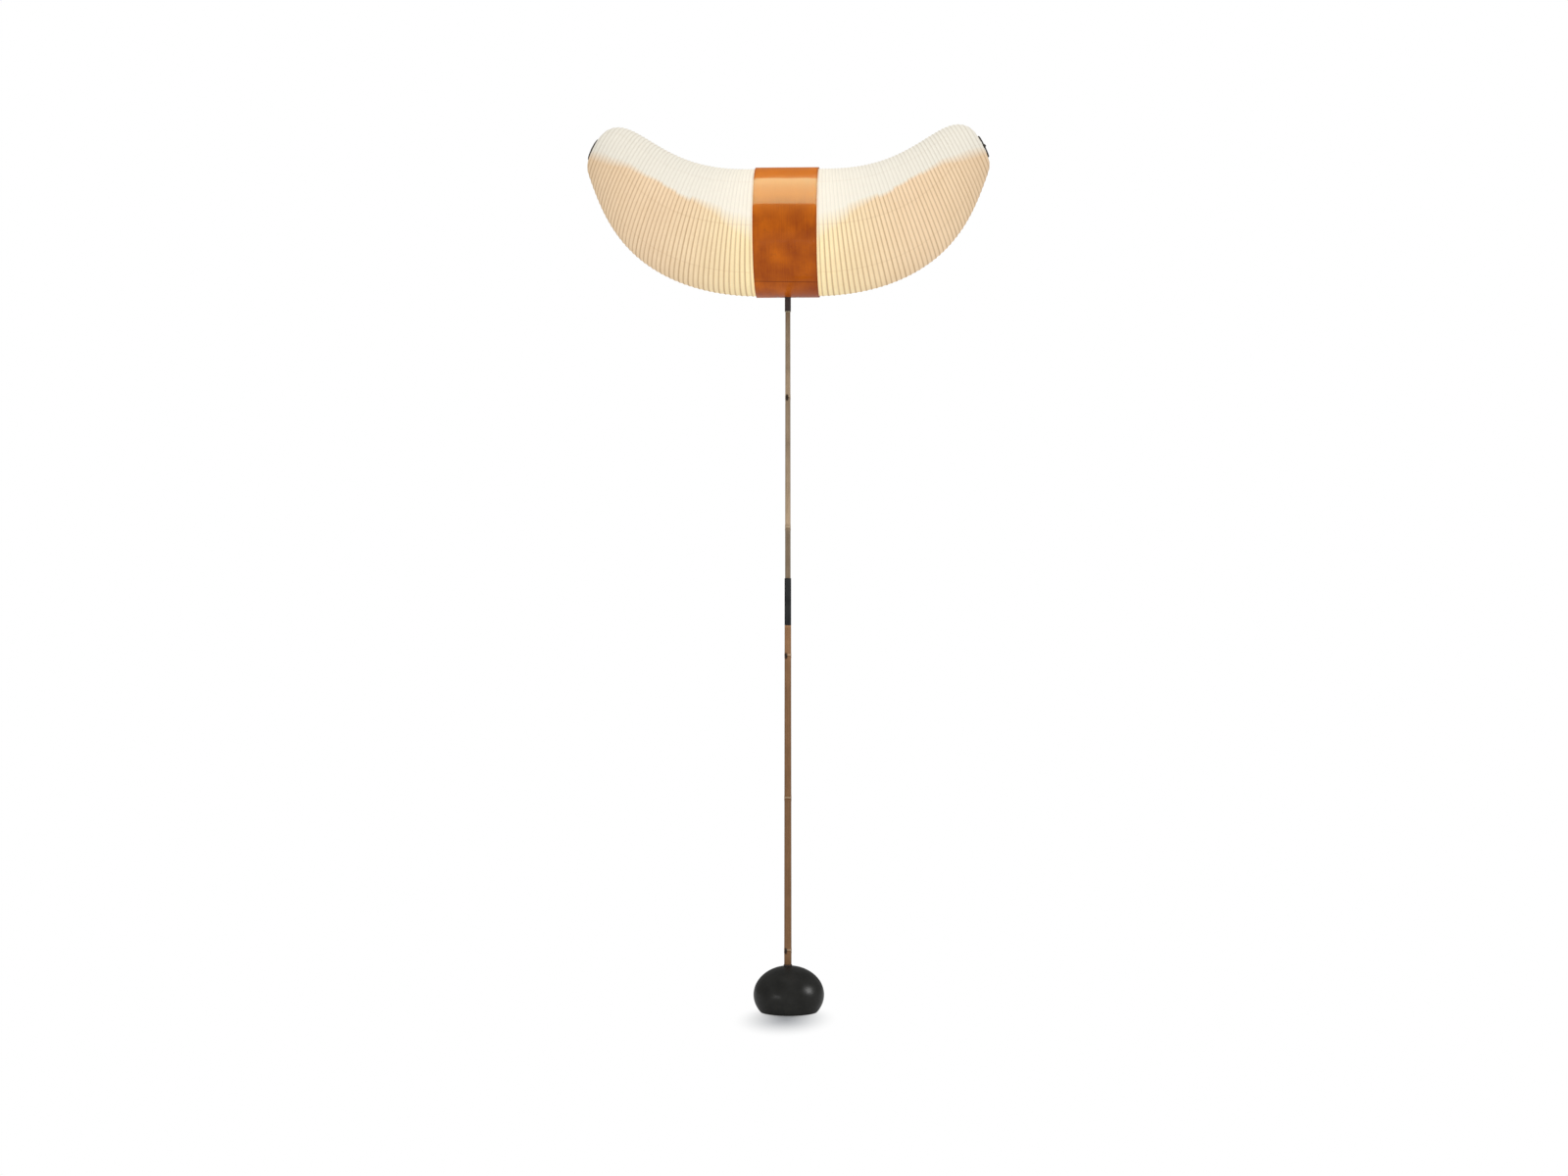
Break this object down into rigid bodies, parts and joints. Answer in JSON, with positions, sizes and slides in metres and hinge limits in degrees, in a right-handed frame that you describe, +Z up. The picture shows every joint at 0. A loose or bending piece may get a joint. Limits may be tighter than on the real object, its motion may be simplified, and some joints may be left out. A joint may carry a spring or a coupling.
{
  "type": "paper lantern floor lamp",
  "caption": "Floor lamp with a crescent pleated paper shade in two halves on a bent wooden band, carried by a jointed bamboo pole on a cast-iron pebble base",
  "frame": {"origin": "on the floor, on the axis of the pole", "axes": "+Z up along the pole, +X along the shade to the right, -Y towards the viewer"},
  "size_m": [0.838, 0.2694, 1.8454],
  "materials": {
    "cast_iron": "satin black, hand-rubbed",
    "pad_rubber": "matte",
    "steel": "turned steel",
    "dark_steel": "dark grey-brown lacquer",
    "black_sleeve": "satin black",
    "bamboo_dark": "natural bamboo, tan",
    "bamboo_pale": "natural bamboo, grey-beige",
    "brass": "plain",
    "veneer": "amber lacquered veneer",
    "wire": "dark spring steel",
    "bamboo_strip": "split bamboo",
    "paper": "handmade paper, matte",
    "holder_plastic": "black thermoset",
    "ceramic": "glazed white",
    "opal_glass": "opal white"
  },
  "bodies": {
    "base": {"base_casting": "cast_iron", "base_foot_pad": "pad_rubber", "base_socket": "dark_steel", "socket_washer": "steel", "socket_nut": "steel"},
    "lower_pole": {"lower_rod": "bamboo_dark", "foot_pin": "steel", "joint_sleeve": "black_sleeve"},
    "upper_pole": {"upper_rod": "bamboo_pale", "top_pin": "steel"},
    "swivel": {"swivel_bush": "brass"},
    "head": {"head_stem": "dark_steel", "band": "veneer", "band_saddle": "dark_steel", "saddle_grub_screw": "steel", "band_screws": "steel", "lead_grommet": "pad_rubber", "arm_hub": "dark_steel", "right_arm": "wire", "left_arm": "wire", "right_arm_nut": "wire", "left_arm_nut": "wire", "right_inner_hoop": "bamboo_strip", "left_inner_hoop": "bamboo_strip", "right_shade": "paper", "left_shade": "paper", "holder_nipple": "brass", "holder_cap": "holder_plastic", "holder_skirt": "holder_plastic", "holder_insert": "ceramic", "screw_shell": "brass", "centre_contact": "brass"},
    "right_tip": {"right_tip_ring": "wire"},
    "left_tip": {"left_tip_ring": "wire"},
    "bulb": {"bulb_contact": "brass", "bulb_cap": "brass", "bulb_glass": "opal_glass"}
  },
  "joints": [
    {"name": "lower_pole_lift", "type": "slide", "parent": "base", "child": "lower_pole", "axis": [0, 0, 1], "range_m": [0, 0.06]},
    {"name": "upper_pole_lift", "type": "slide", "parent": "lower_pole", "child": "upper_pole", "axis": [0, 0, 1], "range_m": [0, 0.056]},
    {"name": "head_lift", "type": "slide", "parent": "upper_pole", "child": "swivel", "axis": [0, 0, 1], "range_m": [0, 0.06]},
    {"name": "head_swivel", "type": "hinge", "parent": "swivel", "child": "head", "pos_m": [0, 0, 1.4844], "axis": [0, 0, 1], "range_deg": [-180, 180]},
    {"name": "right_shade_fold", "type": "hinge", "parent": "head", "child": "right_tip", "pos_m": [-0.13559, 0, 2.43177], "axis": [0, 1, 0], "range_deg": [0, 15], "deforming": ["right_shade"]},
    {"name": "left_shade_fold", "type": "hinge", "parent": "head", "child": "left_tip", "pos_m": [0.13559, 0, 2.43177], "axis": [0, -1, 0], "range_deg": [0, 15], "deforming": ["left_shade"]},
    {"name": "bulb_unscrew", "type": "slide", "parent": "head", "child": "bulb", "axis": [0, 0, 1], "range_m": [0, 0.026]}
  ]
}
